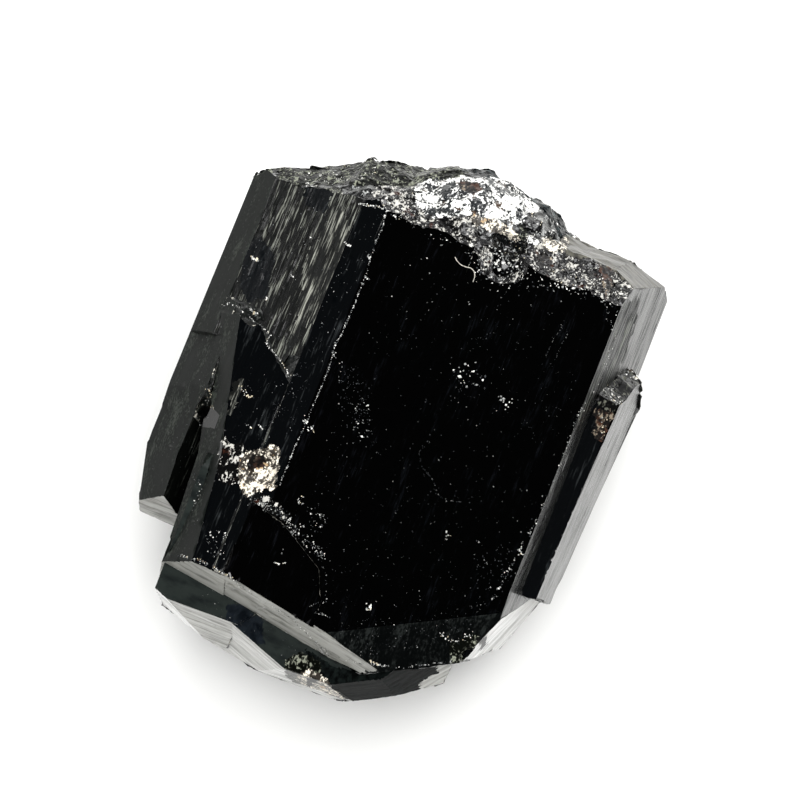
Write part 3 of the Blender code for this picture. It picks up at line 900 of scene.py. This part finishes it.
def etched_end(name, pale, dark, share, roughness, line, run, depth, gloss, frost):
    """An end face: satin grey, with thin lines across the crystal that frost makes paler."""
    parts = tourmaline(name, gloss)
    material, shader, add, finish = parts
    shader.inputs["Roughness"].default_value = roughness
    shader.inputs["Sheen Roughness"].default_value = FROST_ROUGHNESS
    lines = pattern(add, (run, run if frost else line * PLAIN_RUN, line), detail=4.0)
    if frost:
        let_change(parts, "Sheen Weight", lines, FROST_SPAN, frost, FROST_LEFT)
        let_change(parts, "Specular IOR Level", lines, FROST_SPAN, gloss, FROST_GLOSS)
    clouds = pattern(add, ETCHED_CLOUDS, detail=4.0, shift=3.0)
    middle = level_for(share, NARROW_REACH)
    both = plus_share(add, lines, clouds, CLOUD_SHARE)
    before, after = ETCHED_EDGE
    finish("Base Color", blended(add, both, middle - before, middle + after, pale, dark))
    bump = add("ShaderNodeBump", {"Strength": 1.0, "Distance": depth * MM}, {"Height": lines})
    finish("Normal", bump.outputs["Normal"])
    return material


GRAIN_CLOUDS = (0.3, 0.3, 0.3)
GRAIN_SPAN = (0.35, 0.65)
GRAIN_SHADE = 0.7


def plain_grain(name, colour, roughness):
    """A tiny grain of dust, mica or stone, or a fibre: one colour, darker in clouds of 0.3 mm."""
    material, shader, add, finish = new_material(name)
    shader.inputs["IOR"].default_value = GRAIN_IOR
    shader.inputs["Roughness"].default_value = roughness
    clouds = pattern(add, GRAIN_CLOUDS, detail=2.0)
    dark = "#%02x%02x%02x" % tuple(int(int(colour[i:i + 2], 16) * GRAIN_SHADE) for i in (1, 3, 5))
    finish("Base Color", blended(add, clouds, *GRAIN_SPAN, dark, colour))
    return material


# Long faces: dark colour, pale colour, share of it, roughness, width and length of the lines and
# depth of the grooves in millimetres, least and greatest gloss, and how much the bands count
LONG_FACES = (
    # The broad front: a black mirror with hardly a line
    ("front face", "#010101", "#0a0b0e", 0.16, 0.1, 0.12, 2.0, 0.0008, 0.5, 0.5, 0.9),
    # Its worn lower rim: finely pitted, and so satin. Its paler grey is partly its own tone and partly painted
    # reflection of a light high above.
    ("rim face", "#020303", "#171a19", 0.4, 0.42, 0.16, 0.4, 0.003, 0.14, 0.14, 0.9),
    # The bevels: glassy, with a few grey lines
    ("bevel face", "#020304", "#282b2c", 0.11, 0.14, 0.2, 2.6, 0.004, 0.5, 0.5, 0.9),
    # The long slope: deep grooves, whose pale dust reads as grey streaks
    ("grooved face", "#0c0d0c", "#82847b", 0.34, 0.22, 0.17, 2.6, 0.009, 0.35, 0.35, 0.5),
    ("pale streaks", "#0e0f0e", "#96978d", 0.4, 0.3, 0.18, 2.8, 0.008, 0.3, 0.3, 0.4),
    ("dark smooth patch", "#06080a", "#25292b", 0.22, 0.2, 0.2, 1.0, 0.004, 0.3, 0.3, 0.9),
    # Faces of the left crystals: worn dull, a greenish black
    ("smooth face", "#0c0f0d", "#343833", 0.34, 0.5, 0.12, 0.35, 0.003, 0.07, 0.07, 0.9),
    # Steep faces: lines that catch the light by turns, so that they show black and bright streaks
    ("side face", "#050605", "#4a4d47", 0.24, 0.2, 0.26, 4.5, 0.02, 0.12, 0.5, 0.9),
    ("right face", "#050605", "#3c3f3a", 0.3, 0.22, 0.3, 5.0, 0.025, 0.08, 0.6, 0.9),
    ("streaked side", "#050605", "#585b52", 0.34, 0.3, 0.3, 3.0, 0.03, 0.01, 0.14, 0.9),
)

# End faces: pale colour, dark colour, share of it, roughness, width and length of the etched lines
# and depth of the etching in millimetres, gloss and frost
END_FACES = (
    # Etched white: pale, with soft grey lines. The pale grey is partly the etch's own and partly painted
    # reflection of the bright floor seen at a grazing angle.
    ("frosted end", "#8f8f88", "#585851", 0.36, 0.4, 0.5, 6.0, 0.015, 0.6, 1.0),
    # Hardly etched: satin dark grey, then near black where the pits are deep; that near black is painted shade
    # of the pits.
    ("clean end", "#2b2c2a", "#0b0b0b", 0.5, 0.35, 0.3, 3.0, 0.012, 0.5, 0.0),
    ("dark ledge end", "#111615", "#030404", 0.6, 0.6, 0.3, 0.4, 0.012, 0.03, 0.0),
    # The level ledges: an even, greenish dark grey, with a bluish split
    ("ledge", "#1d2220", "#101414", 0.4, 0.45, 0.5, 2.5, 0.012, 0.15, 0.0),
    ("navy split", "#12171c", "#05080c", 0.5, 0.3, 0.5, 0.8, 0.012, 0.3, 0.0),
    # A split across the crystal that has gone dull: brownish grey, partly its own tone and partly painted
    # reflection of the bright floor seen at a grazing angle.
    ("dull split", "#55534a", "#1b1a17", 0.44, 0.5, 0.3, 0.9, 0.012, 0.2, 0.3),
)

# Breaks: dark colour, pale colour, share of it, roughness, width of the lumps and of the grains in
# millimetres, softness of the pale spots' edges, gloss, depth of the grains in millimetres, and the
# colour and share of rusty stains
SPLITS = (
    # Old breaks out of sight: rough and dull, nearly black
    ("hidden break", "#0b0c0b", "#474a45", 0.3, 0.38, 1.6, 0.3, 0.14, 0.5, 0.03, "#2b1e16", 0.05),
    ("dull dark", "#0d0f0e", "#5a5d59", 0.18, 0.35, 0.8, 0.2, 0.1, 0.5, 0.03),
    # Chipped edges: bruised to a whitish powder that is speckled with black
    ("chipped edge", "#121312", "#b9b6aa", 0.36, 0.3, 0.6, 0.2, 0.05, 0.5, 0.03),
    # A clean, shell-like split: wet-looking black with a few grey flashes
    ("fresh split", "#050606", "#8f918f", 0.16, 0.12, 1.0, 0.25, 0.05, 0.5, 0.03),
    ("dark rim", "#04090b", "#4a5557", 0.22, 0.25, 0.9, 0.3, 0.1, 0.06, 0.03),
    # Fine-grained breaks: an olive grey like coarse sugar, and a darker one
    ("granular", "#050604", "#7c7f71", 0.36, 0.3, 0.7, 0.2, 0.08, 0.12, 0.03),
    ("dark granular", "#030303", "#5a5b52", 0.3, 0.3, 0.7, 0.2, 0.08, 0.25, 0.03),
    # The crushed end: glittering black and white splinters
    ("crushed", "#050505", "#b9b7b0", 0.28, 0.2, 0.9, 0.23, 0.045, 0.5, 0.03, "#2e1810", 0.08),
    # A split full of tiny cracks, which turn it silvery white. Its near-white is partly the cracks' own and
    # partly painted reflection of the light above the top end.
    ("silvery split", "#15191b", "#e6e6e2", 0.53, 0.2, 1.3, 0.26, 0.05, 0.5, 0.02, "#3c2a1b", 0.12),
    # Iron oxide has run into the cracks: brown over black
    ("stained split", "#0c0908", "#7a6f60", 0.3, 0.3, 0.8, 0.25, 0.06, 0.5, 0.03, "#3a2317", 0.4),
    ("stained hollow", "#0b0908", "#3a3229", 0.3, 0.35, 0.7, 0.25, 0.08, 0.5, 0.03, "#281a13", 0.25),
    # Feldspar that sticks in chips of the stone: matt cream with tan clouds
    ("cream chip", "#2a251f", "#ece4d3", 0.5, 0.4, 0.8, 0.2, 0.08, 0.5, 0.03, "#a58b68", 0.14),
    # Deep pits, which let no light out
    ("dark pit", "#010101", "#0c0c0c", 0.3, 0.5, 0.8, 0.3, 0.1, 0.5, 0.03),
)
MATERIALS = {}
for make, rows in ((grown_face, LONG_FACES), (etched_end, END_FACES), (split_stone, SPLITS)):
    for row in rows:
        MATERIALS[row[0]] = make(*row)

# The grains: quartz dust and mica are white or grey, feldspar is cream, splinters of the stone itself
# are dim, and rust covers a few. Colour and roughness.
GRAIN_MATERIALS = {
    tone: plain_grain(tone + " grain", colour, roughness)
    for tone, colour, roughness in (
        ("white", "#f4f3ee", 0.35),
        ("cream", "#ecdfc2", 0.4),
        ("grey", "#9a9c9a", 0.35),
        ("dim", "#303336", 0.3),
        ("rusty", "#54402f", 0.5),
    )
}

# Which grains a tone is mixed from, and in what parts
TONES = {
    "bright": (("white", 6), ("grey", 2), ("cream", 1)),
    "cream": (("cream", 5), ("white", 3), ("rusty", 1)),
    "mixed": (("white", 2), ("grey", 3), ("dim", 3)),
    "dim": (("grey", 2), ("dim", 7)),
    "rusty": (("rusty", 3), ("cream", 2), ("grey", 2)),
}


# Grains on the surface: along lines of photograph pixels and in fields of them

# The line between the bevel and the front face, and the outline of the front face's middle
BEVEL_LINE = [
    (386, 207), (383, 225), (375, 245), (369, 262), (366, 275), (358, 295), (350, 315), (340, 337),
    (333, 349), (331, 362), (326, 376), (320, 390), (312, 408), (302, 432), (294, 448), (289, 462),
    (284, 473), (280, 485)]
FRONT_OUTLINE = [(400, 250), (590, 300), (560, 500), (480, 620), (330, 640), (290, 520), (340, 400)]

# Path, number of grains, spread in pixels, smallest and largest grain in millimetres, tone
TRAILS = [
    # The bevel's line, then its branches
    (BEVEL_LINE, 420, 0.7, 0.06, 0.13, "mixed"),
    (BEVEL_LINE, 60, 1.2, 0.10, 0.22, "mixed"),
    ([(369, 255), (370, 262)], 8, 1.5, 0.14, 0.26, "bright"),
    ([(364, 276), (368, 280)], 6, 1.5, 0.12, 0.22, "mixed"),
    ([(333, 350), (338, 362), (345, 366)], 14, 2.5, 0.08, 0.18, "mixed"),
    ([(303, 416), (309, 424), (311, 431)], 22, 4.0, 0.10, 0.22, "bright"),
    # The zigzag step of the left side
    ([(222, 306), (229, 304), (237, 306), (242, 311), (243, 315)], 26, 1.5, 0.10, 0.22, "mixed"),
    ([(249, 308), (256, 313)], 14, 2.5, 0.14, 0.30, "bright"),
    ([(249, 316), (255, 322), (262, 326)], 16, 1.0, 0.08, 0.16, "mixed"),
    ([(262, 326), (270, 335), (266, 342), (268, 347), (276, 354), (284, 366), (291, 377)],
     50, 1.4, 0.10, 0.24, "bright"),
    ([(291, 377), (296, 374), (301, 378)], 12, 1.0, 0.08, 0.14, "dim"),
    ([(266, 300), (268, 296)], 5, 1.0, 0.10, 0.18, "bright"),
    # Shards strewn below the crushed end, and in its hollow
    ([(385, 212), (400, 222), (430, 234), (465, 247), (474, 262), (495, 283), (520, 284), (565, 288),
      (600, 300), (640, 320)], 120, 6.0, 0.07, 0.2, "mixed"),
    ([(478, 252), (500, 256), (516, 272)], 80, 11.0, 0.12, 0.32, "mixed"),
    # Small chips higher up
    ([(251, 256), (257, 261)], 12, 1.2, 0.16, 0.34, "bright"),
    ([(345, 242), (350, 246)], 7, 1.0, 0.14, 0.28, "bright"),
    ([(309, 236), (311, 238)], 3, 0.8, 0.12, 0.2, "bright"),
    ([(291, 275), (293, 277)], 3, 0.8, 0.10, 0.2, "bright"),
    ([(305, 183), (318, 181), (333, 182), (345, 180)], 40, 0.9, 0.09, 0.18, "mixed"),
    ([(358, 203), (366, 205), (374, 206), (382, 208), (387, 213)], 34, 1.2, 0.10, 0.22, "bright"),
    # Down from the large chip along the sunk corner
    ([(247, 497), (265, 505), (285, 515), (291, 528), (305, 541), (325, 556)], 230, 5.5, 0.08, 0.18, "mixed"),
    ([(318, 548), (326, 575), (326, 602), (318, 630)], 16, 1.6, 0.07, 0.15, "dim"),
    # The left crystal
    ([(241, 386), (246, 394), (252, 398)], 18, 3.0, 0.10, 0.22, "cream"),
    ([(247, 425), (252, 428)], 5, 0.8, 0.10, 0.2, "bright"),
    ([(258, 425), (263, 429)], 6, 0.8, 0.10, 0.2, "bright"),
    ([(206, 388), (212, 394), (205, 402), (214, 408)], 20, 2.0, 0.08, 0.18, "cream"),
    ([(196, 416), (201, 426)], 10, 1.5, 0.08, 0.16, "mixed"),
    ([(193, 476), (200, 490), (194, 503), (193, 525)], 30, 3.0, 0.08, 0.18, "mixed"),
    # The upper edge of the lower left ledge, and the lower edge of the front face
    ([(178, 555), (200, 562), (222, 572), (240, 585), (265, 602), (290, 617), (312, 638), (330, 655)],
     150, 1.6, 0.09, 0.2, "mixed"),
    ([(180, 553), (205, 562), (232, 578)], 30, 2.0, 0.10, 0.2, "rusty"),
    ([(340, 658), (355, 662), (372, 664), (400, 668), (430, 664), (455, 662)], 70, 1.2, 0.09, 0.2, "mixed"),
    ([(370, 661), (378, 665)], 12, 1.6, 0.12, 0.26, "cream"),
    ([(440, 632), (447, 640), (460, 640), (474, 634)], 36, 3.0, 0.08, 0.18, "bright"),
    # The right edge of the front face
    ([(604, 300), (614, 340), (604, 372), (594, 392)], 60, 3.0, 0.08, 0.18, "mixed"),
    ([(592, 392), (580, 412), (572, 435), (555, 480), (540, 515), (520, 550), (492, 600)],
     150, 2.0, 0.08, 0.17, "mixed"),
    ([(519, 548), (523, 556)], 14, 1.5, 0.10, 0.2, "bright"),
    # The head of the right crystal and its brown upper stretch
    ([(606, 388), (612, 396), (620, 404)], 34, 5.0, 0.10, 0.26, "bright"),
    ([(633, 377), (639, 378)], 14, 2.2, 0.18, 0.34, "bright"),
    ([(600, 412), (604, 424), (602, 440)], 40, 4.0, 0.08, 0.2, "rusty"),
    # Cracks and scratches of the front face
    ([(430, 442), (419, 452), (422, 467), (433, 480), (438, 495), (447, 500), (460, 502), (473, 497)],
     60, 0.6, 0.05, 0.1, "dim"),
    ([(545, 358), (553, 340), (565, 322)], 26, 0.5, 0.05, 0.1, "dim"),
    ([(555, 360), (561, 345), (568, 334)], 20, 0.5, 0.05, 0.1, "dim"),
    ([(273, 562), (279, 564), (285, 563)], 22, 0.4, 0.08, 0.13, "bright"),
    ([(281, 557), (283, 549)], 8, 0.4, 0.06, 0.11, "mixed"),
    ([(309, 607), (318, 603), (326, 602)], 12, 0.7, 0.06, 0.12, "mixed"),
    ([(312, 612), (322, 614), (330, 618)], 16, 1.5, 0.07, 0.14, "mixed"),
]

# Outline, number of grains, smallest and largest grain in millimetres, tone
FIELDS = [
    (FRONT_OUTLINE, 620, 0.05, 0.13, "dim"),
    (FRONT_OUTLINE, 60, 0.08, 0.16, "mixed"),
    ([(452, 366), (484, 360), (486, 388), (458, 390)], 34, 0.1, 0.34, "mixed"),
    ([(497, 393), (504, 392), (513, 398), (511, 411), (504, 410)], 14, 0.12, 0.32, "bright"),
    ([(338, 372), (352, 366), (372, 392), (368, 436), (350, 432), (336, 408)], 90, 0.07, 0.16, "dim"),
    ([(355, 405), (368, 400), (372, 440), (352, 448)], 40, 0.09, 0.2, "mixed"),
    ([(440, 528), (450, 528), (452, 540), (442, 540)], 8, 0.1, 0.22, "bright"),
    ([(366, 603), (371, 603), (372, 610), (366, 611)], 10, 0.16, 0.3, "bright"),
    ([(296, 496), (304, 496), (304, 504), (297, 504)], 12, 0.1, 0.22, "bright"),
    ([(299, 523), (304, 523), (304, 528), (300, 528)], 5, 0.12, 0.24, "bright"),
    ([(305, 505), (325, 515), (326, 535), (310, 530)], 40, 0.07, 0.18, "mixed"),
    ([(205, 530), (228, 530), (226, 560), (208, 556)], 50, 0.08, 0.22, "mixed"),
    ([(470, 560), (510, 540), (520, 580), (480, 610)], 60, 0.06, 0.16, "dim"),
    ([(335, 620), (440, 615), (480, 600), (470, 640), (350, 660)], 160, 0.05, 0.13, "dim"),
    ([(240, 250), (300, 190), (345, 200), (330, 260), (290, 350), (240, 300)], 110, 0.06, 0.16, "dim"),
    ([(350, 215), (385, 215), (330, 345), (280, 460), (262, 440), (310, 340)], 130, 0.06, 0.14, "dim"),
    ([(252, 362), (292, 380), (280, 440), (232, 440)], 60, 0.06, 0.15, "dim"),
    ([(150, 470), (250, 230), (262, 240), (185, 500)], 90, 0.05, 0.13, "dim"),
    ([(215, 590), (300, 640), (290, 665), (160, 600)], 60, 0.05, 0.12, "dim"),
    ([(365, 190), (412, 190), (425, 225), (400, 222)], 70, 0.10, 0.24, "bright"),
    ([(290, 172), (380, 162), (400, 180), (310, 182)], 60, 0.10, 0.26, "bright"),
    ([(480, 245), (600, 275), (640, 300), (600, 296), (500, 280)], 120, 0.09, 0.24, "bright"),
    ([(530, 210), (562, 218), (560, 240), (535, 238)], 40, 0.10, 0.26, "bright"),
    ([(474, 262), (500, 262), (506, 282), (478, 274)], 46, 0.09, 0.26, "mixed"),
    ([(500, 230), (530, 240), (515, 256)], 18, 0.08, 0.2, "cream"),
]

# How many grains lie thinly spread over the faces out of the photograph's sight, how large they are,
# and what they are mixed from. Faces that look nearly straight down lie on the floor and stay bare.
SCATTERED = 900
SCATTERED_SIZES = (0.06, 0.22)
SCATTERED_TONES = ("dim", "dim", "mixed")
FACES_DOWN = -0.9

# The higher this is, the more of the grains are small
TRAIL_BIAS = 2
FIELD_BIAS = 3

# A grain is a double pyramid: its corners, then the least and greatest stretch, corner reach, corner
# height and tip height, and how deep its root is sunk, in shares of its size
GRAIN_CORNERS = [(1, 0, 0), (0, 1, 0), (-1, 0, 0), (0, -1, 0)]
STRETCH = (0.8, 1.6)
CORNER_REACH = (0.6, 1.2)
CORNER_HEIGHT = (-0.1, 0.15)
TIP_HEIGHT = (0.2, 0.4)
ROOT_DEPTH = 0.35


def at_pixel(tree, spot):
    """The place of the surface that shows at a pixel, and the way it faces there."""
    across = (spot[0] - FRAME_PIXELS / 2) / FOCAL_PIXELS
    along = (FRAME_PIXELS / 2 - spot[1]) / FOCAL_PIXELS
    ray = (RIGHT * across + UP * along - BACK).normalized()
    place, normal, _, _ = tree.ray_cast(EYE, ray)
    return place, normal


def add_grain(bm, place, normal, size, tone, draw):
    """An angular grain, half sunk in the surface."""
    turn = normal.to_track_quat("Z", "X") @ Quaternion((0.0, 0.0, 1.0), draw.uniform(0.0, math.tau))
    stretch = draw.uniform(*STRETCH)
    ring = []
    for corner in GRAIN_CORNERS:
        point = Vector(corner) * size * 0.5 * draw.uniform(*CORNER_REACH)
        point.x *= stretch
        point.z = draw.uniform(*CORNER_HEIGHT) * size
        ring.append(bm.verts.new(within_box(place + turn @ point)))
    tip = bm.verts.new(within_box(place + turn @ Vector((0.0, 0.0, draw.uniform(*TIP_HEIGHT) * size))))
    root = bm.verts.new(within_box(place - normal * size * ROOT_DEPTH))
    names = [name for name, _ in TONES[tone]]
    picked = draw.choices(names, [weight for _, weight in TONES[tone]])[0]
    for i, corner in enumerate(ring):
        following = ring[(i + 1) % len(ring)]
        for points in ((corner, following, tip), (following, corner, root)):
            bm.faces.new(points).material_index = list(GRAIN_MATERIALS).index(picked)


def grain_size(small, large, bias, draw):
    """A size between small and large, mostly near small."""
    return small + (large - small) * draw.random() ** bias


def along_path(path, share):
    """The point at a share of a path's length."""
    lengths = [math.dist(a, b) for a, b in zip(path, path[1:])]
    left = share * sum(lengths)
    for (x0, y0), (x1, y1), length in zip(path, path[1:], lengths):
        if left <= length:
            part = left / length
            return x0 + (x1 - x0) * part, y0 + (y1 - y0) * part
        left -= length
    return path[-1]


def add_grains(surface):
    """Specks, dust and splinters: where the photograph shows them, and thinly all round."""
    draw = random.Random(SEED + 1)
    tree = BVHTree.FromBMesh(surface)
    bm = bmesh.new()

    def lay(spot, small, large, bias, tone):
        place, normal = at_pixel(tree, spot)
        size = grain_size(small, large, bias, draw)
        if place:
            add_grain(bm, place, normal, size, tone, draw)

    for path, count, spread, small, large, tone in TRAILS:
        for _ in range(count):
            x, y = along_path(path, draw.random())
            spot = (x + draw.gauss(0.0, spread / 2), y + draw.gauss(0.0, spread / 2))
            lay(spot, small, large, TRAIL_BIAS, tone)
    for outline, count, small, large, tone in FIELDS:
        low = [min(p[i] for p in outline) for i in (0, 1)]
        high = [max(p[i] for p in outline) for i in (0, 1)]
        while count > 0:
            spot = (draw.uniform(low[0], high[0]), draw.uniform(low[1], high[1]))
            if inside(spot, outline):
                count -= 1
                lay(spot, small, large, FIELD_BIAS, tone)
    hidden = [f for f in surface.faces if f.normal.dot(BACK) < 0.0 and f.normal.z > FACES_DOWN]
    for face in draw.choices(hidden, [f.calc_area() for f in hidden], k=SCATTERED):
        size = grain_size(*SCATTERED_SIZES, FIELD_BIAS, draw)
        tone = draw.choice(SCATTERED_TONES)
        add_grain(bm, face.calc_center_median(), face.normal, size, tone, draw)
    add_piece(bm, "grains", GRAIN_MATERIALS)


# A lint fibre lies curled on the front face. Its radius is in millimetres.
FIBRE_PATH = [(455, 257), (457, 261), (461, 265), (466, 267), (471, 268), (474, 271), (475, 276), (473, 282)]
FIBRE_RADIUS = 0.038
FIBRE_SIDES = 6
FIBRE_STEPS = 20


def add_fibre(surface):
    """A pale cotton fibre, matt and a little yellowish."""
    tree = BVHTree.FromBMesh(surface)
    bm = bmesh.new()
    spots = [along_path(FIBRE_PATH, i / FIBRE_STEPS) for i in range(FIBRE_STEPS + 1)]
    places = [at_pixel(tree, spot)[0] for spot in spots]
    rings = []
    for i, place in enumerate(places):
        ahead = (places[min(i + 1, len(places) - 1)] - places[max(i - 1, 0)]).normalized()
        out = ahead.cross(BACK).normalized()
        ring = []
        for side in range(FIBRE_SIDES):
            angle = math.tau * side / FIBRE_SIDES
            point = place + (out * math.cos(angle) + BACK * math.sin(angle)) * FIBRE_RADIUS
            ring.append(bm.verts.new(within_box(point)))
        rings.append(ring)
    for first, second in zip(rings, rings[1:]):
        for side in range(FIBRE_SIDES):
            following = (side + 1) % FIBRE_SIDES
            bm.faces.new((first[side], first[following], second[following], second[side]))
    bm.faces.new(rings[0])
    bm.faces.new(list(reversed(rings[-1])))
    bmesh.ops.recalc_face_normals(bm, faces=bm.faces)
    add_piece(bm, "lint_fibre", {"cotton": plain_grain("cotton fibre", "#d9d4c8", 0.8)})


def add_piece(bm, name, materials):
    """Turns a mesh in millimetres into a piece of the crystal."""
    bmesh.ops.scale(bm, vec=(MM, MM, MM), verts=bm.verts)
    mesh = bpy.data.meshes.new(name)
    bm.to_mesh(mesh)
    for material in materials.values():
        mesh.materials.append(material)
    piece = bpy.data.objects.new(name, mesh)
    bpy.context.scene.collection.objects.link(piece)
    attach(piece, "root")
    bm.free()
    return piece


def add_crystal():
    """Makes the fine crystal, with what clings to it, and puts it in the place of the plain one."""
    bm, which, patch = make_surface()
    names = list(MATERIALS)
    for face in bm.faces:
        name = surface_name(kind_of(face[which]), face[patch], face.calc_center_median())
        face.material_index = names.index(name)
    add_grains(bm)
    add_fibre(bm)
    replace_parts(add_piece(bm, "tourmaline", MATERIALS), "crystal")


# Floor, light and camera

# The floor is matt white board. Its colour holds a painted pool of light: palest within the first reach, then
# painted darker up to the second.
FLOOR_REACH = 1500.0
FLOOR_DROP = 0.02
FLOOR_ROUGHNESS = 0.9
PAINTED_FALLOFF_REACH = (50.0, 330.0)
PAINTED_FALLOFF_COLOURS = ("#f4f4f2", "#b6b6b4")

# The softboxes: name, bearing, elevation, distance, width, height, radiance, and whether the
# crystal mirrors it. They face a point at this height.
LIGHT_AIM = 20.0
LIGHTS = (
    ("overhead", 0, 90, 420, 500, 500, 5.0, False),
    ("left strip", -79, 12, 260, 200, 24, 4.8, True),
    ("top softbox", 10, 42, 320, 260, 120, 6.0, True),
)

# How bright the room is, from the floor's level (0) to straight above (1), and how bluish
ROOM = ((0.0, 0.5), (0.3, 0.3), (0.55, 0.05), (0.93, 0.004))
BLUISH = 1.03

# The camera sees from here to there
NEAREST = 10.0
FARTHEST = 20000.0


def add_floor():
    """A pale floor, painted darker away from the crystal as a painted pool of light."""
    half = FLOOR_REACH * MM
    corners = [(-half, -half, 0), (half, -half, 0), (half, half, 0), (-half, half, 0)]
    mesh = bpy.data.meshes.new("floor")
    mesh.from_pydata(corners, [], [(0, 1, 2, 3)])
    floor = bpy.data.objects.new("floor", mesh)
    floor.location.z = -FLOOR_DROP * MM
    bpy.context.scene.collection.objects.link(floor)
    material, shader, add, finish = new_material("pale floor")
    shader.inputs["Roughness"].default_value = FLOOR_ROUGHNESS
    where = add("ShaderNodeTexCoord", {}, {})
    reach = add("ShaderNodeVectorMath", {"operation": "LENGTH"}, {0: where.outputs["Object"]})
    # Painted pool of light: the floor's colour darkens with distance from the crystal.
    finish("Base Color", blended(add, reach.outputs["Value"], PAINTED_FALLOFF_REACH[0] * MM, PAINTED_FALLOFF_REACH[1] * MM, *PAINTED_FALLOFF_COLOURS))
    mesh.materials.append(material)


def add_light(name, bearing, elevation, distance, wide, tall, radiance, mirrored):
    """A softbox that faces the crystal, seen from it at a bearing and an elevation."""
    lamp = bpy.data.lights.new(name, "AREA")
    lamp.shape = "RECTANGLE"
    lamp.size = wide * MM
    lamp.size_y = tall * MM
    lamp.energy = radiance * math.pi * wide * tall * MM * MM
    made = bpy.data.objects.new(name, lamp)
    turn = math.radians(bearing)
    lift = math.radians(elevation)
    toward = Vector((math.sin(turn) * math.cos(lift), math.cos(turn) * math.cos(lift), math.sin(lift)))
    made.location = (toward * distance + Vector((0, 0, LIGHT_AIM))) * MM
    made.rotation_mode = "QUATERNION"
    made.rotation_quaternion = toward.to_track_quat("Z", "Y")
    made.visible_camera = False
    made.visible_glossy = mirrored
    bpy.context.scene.collection.objects.link(made)


def add_room():
    """A dim room: dark overhead, so that the front face stays black, and greyer near the floor."""
    world = bpy.data.worlds.new("room")
    bpy.context.scene.world = world
    world.use_nodes = True
    tree = world.node_tree
    sky = tree.nodes["Background"]
    where = tree.nodes.new("ShaderNodeTexCoord")
    split = tree.nodes.new("ShaderNodeSeparateXYZ")
    ramp = tree.nodes.new("ShaderNodeValToRGB")
    tree.links.new(where.outputs["Generated"], split.inputs["Vector"])
    tree.links.new(split.outputs["Z"], ramp.inputs["Fac"])
    tree.links.new(ramp.outputs["Color"], sky.inputs["Color"])
    stops = ramp.color_ramp.elements
    stops.remove(stops[1])
    for height, value in ROOM:
        stop = stops[0] if height == 0.0 else stops.new(height)
        stop.position = height
        stop.color = (value, value, value * BLUISH, 1.0)


def add_camera():
    """The camera of the photograph: a long lens, almost straight above."""
    lens = bpy.data.cameras.new("camera")
    lens.lens = LENS
    lens.sensor_width = SENSOR
    lens.clip_start = NEAREST * MM
    lens.clip_end = FARTHEST * MM
    camera = bpy.data.objects.new("camera", lens)
    camera.location = EYE * MM
    camera.rotation_mode = "QUATERNION"
    camera.rotation_quaternion = TURN
    bpy.context.scene.collection.objects.link(camera)
    bpy.context.scene.camera = camera


add_crystal()
add_floor()
add_room()
for light in LIGHTS:
    add_light(*light)
add_camera()
bpy.context.scene.view_settings.view_transform = "Standard"
bpy.context.scene.view_settings.look = "None"
